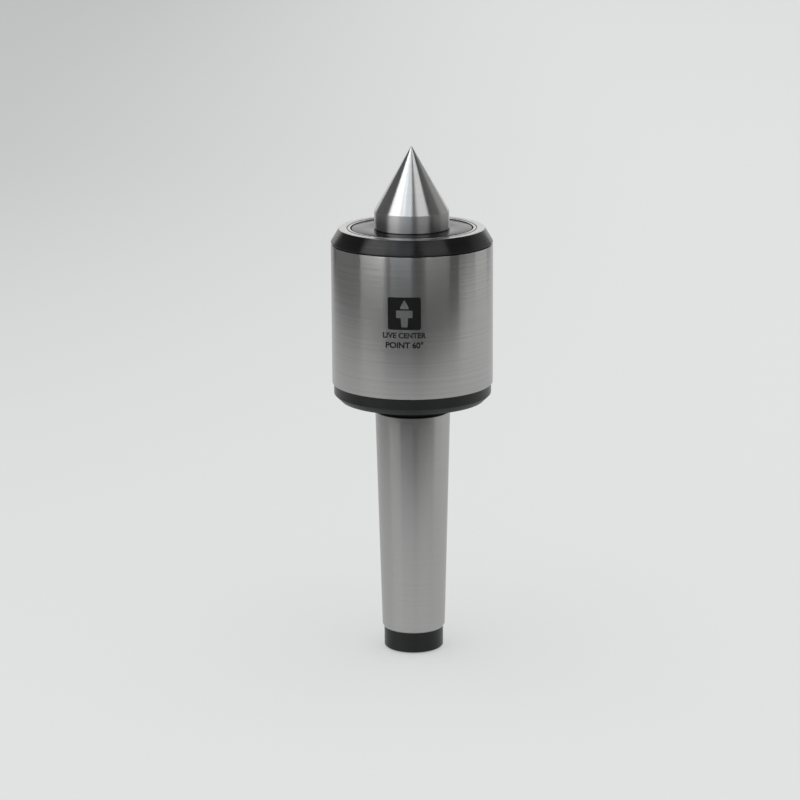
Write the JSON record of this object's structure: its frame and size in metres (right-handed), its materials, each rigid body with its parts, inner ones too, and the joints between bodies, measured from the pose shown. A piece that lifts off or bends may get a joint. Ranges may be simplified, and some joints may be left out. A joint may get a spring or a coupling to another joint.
{
  "type": "live center",
  "caption": "Rotating lathe center: a tapered shank and bearing housing in one piece, with a sixty degree point that spins on inner bearings behind a chamfered cap.",
  "frame": {"origin": "middle of the end face of the shank, which the part stands on", "axes": "+Z along the axis of the spindle, from the small end of the shank to the point; the part is turned, so X and Y are alike, and the printed mark faces -Y"},
  "size_m": [0.0676, 0.0676, 0.2162],
  "materials": {
    "ground_steel": "cylindrically ground steel with fine lines round the axis",
    "point_steel": "hardened and finely ground steel",
    "black_oxide": "turned steel, blacked and oiled",
    "bearing_steel": "polished bearing steel",
    "plain_steel": "plain machined or pressed steel",
    "cage_brass": "machined brass",
    "seal_rubber": "moulded nitrile rubber"
  },
  "bodies": {
    "housing": {"shank_housing": "ground_steel", "front_cap": "black_oxide", "cap_o_ring": "seal_rubber", "shaft_seal_case": "plain_steel", "shaft_seal_lip": "seal_rubber", "garter_spring": "plain_steel", "wave_washer": "plain_steel", "front_bearing_outer_ring": "bearing_steel", "middle_bearing_outer_ring": "bearing_steel", "outer_spacer": "plain_steel", "thrust_housing_washer": "bearing_steel", "needle_bearing_cup": "bearing_steel"},
    "spindle": {"spindle_point": "point_steel", "slinger_disc": "black_oxide", "front_bearing_inner_ring": "bearing_steel", "middle_bearing_inner_ring": "bearing_steel", "inner_spacer": "plain_steel", "lock_washer": "plain_steel", "lock_nut": "plain_steel", "thrust_shaft_washer": "bearing_steel"},
    "front_cage": {"front_bearing_cage": "cage_brass", "front_bearing_ball_1": "bearing_steel", "front_bearing_ball_2": "bearing_steel", "front_bearing_ball_3": "bearing_steel", "front_bearing_ball_4": "bearing_steel", "front_bearing_ball_5": "bearing_steel", "front_bearing_ball_6": "bearing_steel", "front_bearing_ball_7": "bearing_steel", "front_bearing_ball_8": "bearing_steel", "front_bearing_ball_9": "bearing_steel", "front_bearing_ball_10": "bearing_steel", "front_bearing_ball_11": "bearing_steel", "front_bearing_ball_12": "bearing_steel"},
    "middle_cage": {"middle_bearing_cage": "cage_brass", "middle_bearing_ball_1": "bearing_steel", "middle_bearing_ball_2": "bearing_steel", "middle_bearing_ball_3": "bearing_steel", "middle_bearing_ball_4": "bearing_steel", "middle_bearing_ball_5": "bearing_steel", "middle_bearing_ball_6": "bearing_steel", "middle_bearing_ball_7": "bearing_steel", "middle_bearing_ball_8": "bearing_steel", "middle_bearing_ball_9": "bearing_steel", "middle_bearing_ball_10": "bearing_steel", "middle_bearing_ball_11": "bearing_steel", "middle_bearing_ball_12": "bearing_steel"},
    "thrust_cage": {"thrust_bearing_cage": "cage_brass", "thrust_bearing_ball_1": "bearing_steel", "thrust_bearing_ball_2": "bearing_steel", "thrust_bearing_ball_3": "bearing_steel", "thrust_bearing_ball_4": "bearing_steel", "thrust_bearing_ball_5": "bearing_steel", "thrust_bearing_ball_6": "bearing_steel", "thrust_bearing_ball_7": "bearing_steel", "thrust_bearing_ball_8": "bearing_steel", "thrust_bearing_ball_9": "bearing_steel", "thrust_bearing_ball_10": "bearing_steel", "thrust_bearing_ball_11": "bearing_steel", "thrust_bearing_ball_12": "bearing_steel"},
    "needle_cage": {"needle_roller_cage": "bearing_steel"}
  },
  "joints": [
    {"name": "spindle_spin", "type": "hinge", "parent": "housing", "child": "spindle", "pos_m": [0, 0, 0.1818], "axis": [0, 0, 1], "continuous": true},
    {"name": "front_cage_spin", "type": "hinge", "parent": "housing", "child": "front_cage", "pos_m": [0, 0, 0.1605], "axis": [0, 0, 1], "continuous": true},
    {"name": "middle_cage_spin", "type": "hinge", "parent": "housing", "child": "middle_cage", "pos_m": [0, 0, 0.1415], "axis": [0, 0, 1], "continuous": true},
    {"name": "thrust_cage_spin", "type": "hinge", "parent": "housing", "child": "thrust_cage", "pos_m": [0, 0, 0.121], "axis": [0, 0, 1], "continuous": true},
    {"name": "needle_cage_spin", "type": "hinge", "parent": "housing", "child": "needle_cage", "pos_m": [0, 0, 0.1065], "axis": [0, 0, 1], "continuous": true}
  ],
  "couplings": [
    {"joint": "front_cage_spin", "follows": "spindle_spin", "ratio": 0.4066},
    {"joint": "middle_cage_spin", "follows": "spindle_spin", "ratio": 0.4066},
    {"joint": "thrust_cage_spin", "follows": "spindle_spin", "ratio": 0.5},
    {"joint": "needle_cage_spin", "follows": "spindle_spin", "ratio": 0.4441}
  ]
}
